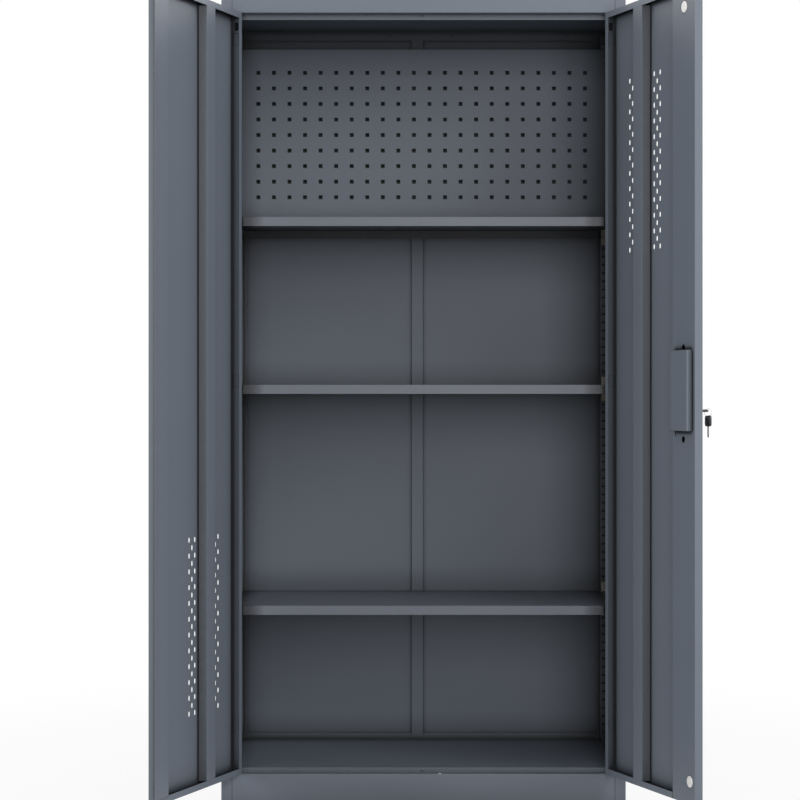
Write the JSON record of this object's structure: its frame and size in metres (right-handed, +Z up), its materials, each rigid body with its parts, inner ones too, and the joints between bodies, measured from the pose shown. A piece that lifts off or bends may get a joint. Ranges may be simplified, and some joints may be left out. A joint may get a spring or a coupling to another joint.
{
  "type": "tool cabinet",
  "caption": "Tall steel tool cabinet with vented swing doors, a pegboard back, hung shelves and a keyed latch rod lock.",
  "frame": {"origin": "middle of the body's footprint, on the floor (doors not counted)", "axes": "+X to the right when facing the doors, +Y from the doors to the back, +Z up"},
  "size_m": [1.1788, 0.8823, 1.822],
  "materials": {
    "cabinet_paint": "fine-textured satin powder coat, slate grey",
    "shelf_paint": "smooth satin powder coat, slate grey",
    "zinc_plate": "bright zinc plating",
    "bright_steel": "nickel-plated",
    "dull_zinc": "olive-passivated zinc plating, dull",
    "key_nickel": "nickel-plated brass, dark with handling",
    "black_plastic": "moulded, fine grain",
    "white_plastic": "smooth moulded"
  },
  "bodies": {
    "carcass": {"left_side_panel": "cabinet_paint", "right_side_panel": "cabinet_paint", "top_panel": "cabinet_paint", "top_header": "cabinet_paint", "floor_panel": "cabinet_paint", "kick_plate": "cabinet_paint", "back_panel_left": "cabinet_paint", "back_panel_right": "cabinet_paint", "back_seam_strip": "cabinet_paint", "back_top_rail": "cabinet_paint", "front_post_left": "cabinet_paint", "front_post_right": "cabinet_paint", "rear_post_left": "cabinet_paint", "rear_post_right": "cabinet_paint", "pegboard": "cabinet_paint", "pegboard_screws": "cabinet_paint", "shelf_upper": "shelf_paint", "shelf_middle": "shelf_paint", "shelf_lower": "shelf_paint", "shelf_clips": "dull_zinc", "stop_rivets": "cabinet_paint", "left_hinge_frame_leaves": "cabinet_paint", "right_hinge_frame_leaves": "cabinet_paint", "left_hinge_pins": "bright_steel", "right_hinge_pins": "bright_steel"},
    "left_door": {"left_door_panel": "cabinet_paint", "left_door_stiffener": "cabinet_paint", "left_door_edge_strip": "cabinet_paint", "left_hinge_door_leaves": "cabinet_paint", "left_hinge_blocks": "cabinet_paint"},
    "right_door": {"right_door_panel": "cabinet_paint", "right_door_stiffener": "cabinet_paint", "right_door_lock_stile": "cabinet_paint", "right_hinge_door_leaves": "cabinet_paint", "right_hinge_blocks": "cabinet_paint", "lock_cover_box": "cabinet_paint", "recessed_handle": "black_plastic", "handle_screws": "zinc_plate", "lock_barrel": "bright_steel", "lock_nut": "zinc_plate", "stile_plugs": "white_plastic"},
    "lock": {"lock_plug": "bright_steel", "lock_cam": "zinc_plate", "cam_screw": "zinc_plate", "key_blade": "key_nickel", "key_head": "black_plastic", "key_ring": "bright_steel"},
    "spare_key": {"spare_key_blade": "key_nickel", "spare_key_head": "black_plastic"},
    "latch_rod_upper": {"latch_rod_upper": "zinc_plate"},
    "latch_rod_lower": {"latch_rod_lower": "zinc_plate"}
  },
  "joints": [
    {"name": "left_door_hinge", "type": "hinge", "parent": "carcass", "child": "left_door", "pos_m": [-0.4305, -0.2325, 0.956], "axis": [0, 0, -1], "range_deg": [-110.3, 60]},
    {"name": "right_door_hinge", "type": "hinge", "parent": "carcass", "child": "right_door", "pos_m": [0.4305, -0.2325, 0.956], "axis": [0, 0, 1], "range_deg": [-110.3, 60]},
    {"name": "lock_turn", "type": "hinge", "parent": "right_door", "child": "lock", "pos_m": [0.55431, -0.59027, 0.892], "axis": [0.9379, 0.3469, 0], "range_deg": [0, 90]},
    {"name": "upper_rod_slide", "type": "slide", "parent": "right_door", "child": "latch_rod_upper", "axis": [0, 0, 1], "range_m": [0, 0.015]},
    {"name": "lower_rod_slide", "type": "slide", "parent": "right_door", "child": "latch_rod_lower", "axis": [0, 0, -1], "range_m": [0, 0.015]},
    {"name": "spare_key_swing", "type": "hinge", "parent": "lock", "child": "spare_key", "pos_m": [0.59511, -0.57517, 0.8778], "axis": [0.9379, 0.3469, 0], "range_deg": [-90, 0]}
  ],
  "couplings": [
    {"joint": "lower_rod_slide", "follows": "upper_rod_slide", "ratio": 1},
    {"joint": "lock_turn", "follows": "upper_rod_slide", "rad_per_m": 104.72},
    {"joint": "spare_key_swing", "follows": "upper_rod_slide", "rad_per_m": -104.72}
  ]
}
